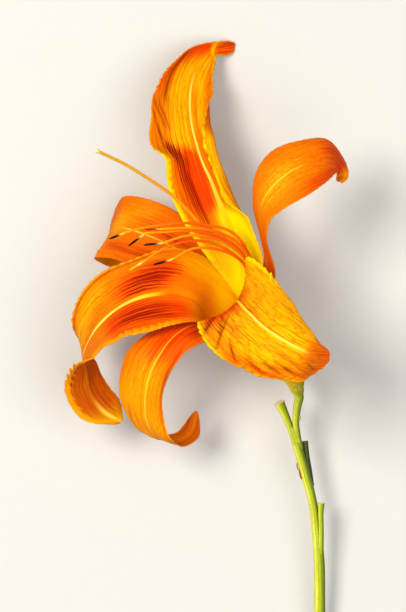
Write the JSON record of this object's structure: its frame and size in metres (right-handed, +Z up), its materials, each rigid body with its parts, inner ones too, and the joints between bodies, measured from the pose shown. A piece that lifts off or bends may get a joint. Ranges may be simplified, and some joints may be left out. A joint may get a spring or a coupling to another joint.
{
  "type": "orange daylily cut flower",
  "caption": "Open orange daylily flower on a bare cut stem, with wavy recurved petals, long curved stamens and a long style, lying down.",
  "frame": {"origin": "bottom centre of the bounding box, on the surface the cut flower lies on", "axes": "+Z up from the surface, +Y from the cut end of the stem to the top petal, +X to the right seen from above"},
  "size_m": [0.0798, 0.2042, 0.0794],
  "materials": {
    "petal_tissue": "soft satin petal, yellow throat and red eye zone",
    "sepal_tissue": "soft satin sepal",
    "tube_tissue": "satin yellow-green",
    "ovary_tissue": "satin green",
    "style_tissue": "satin",
    "stigma_tissue": "matt",
    "filament_tissue": "satin",
    "anther_pollen": "matt, pollen dusted",
    "scape_stem": "satin green stem",
    "papery_bract": "dry, papery",
    "dry_bract": "dry, papery"
  },
  "bodies": {
    "root": {"petal_top": "petal_tissue", "petal_front": "petal_tissue", "petal_left": "petal_tissue", "sepal_right": "sepal_tissue", "sepal_lower": "sepal_tissue", "sepal_back": "sepal_tissue", "perianth_tube": "tube_tissue", "ovary": "ovary_tissue", "style": "style_tissue", "stigma": "stigma_tissue", "filament_1": "filament_tissue", "filament_2": "filament_tissue", "filament_3": "filament_tissue", "filament_4": "filament_tissue", "filament_5": "filament_tissue", "filament_6": "filament_tissue", "anther_1": "anther_pollen", "anther_2": "anther_pollen", "anther_3": "anther_pollen", "anther_4": "anther_pollen", "anther_5": "anther_pollen", "anther_6": "anther_pollen", "scape": "scape_stem", "bract_fork": "papery_bract", "bract_dry": "dry_bract"}
  },
  "joints": []
}
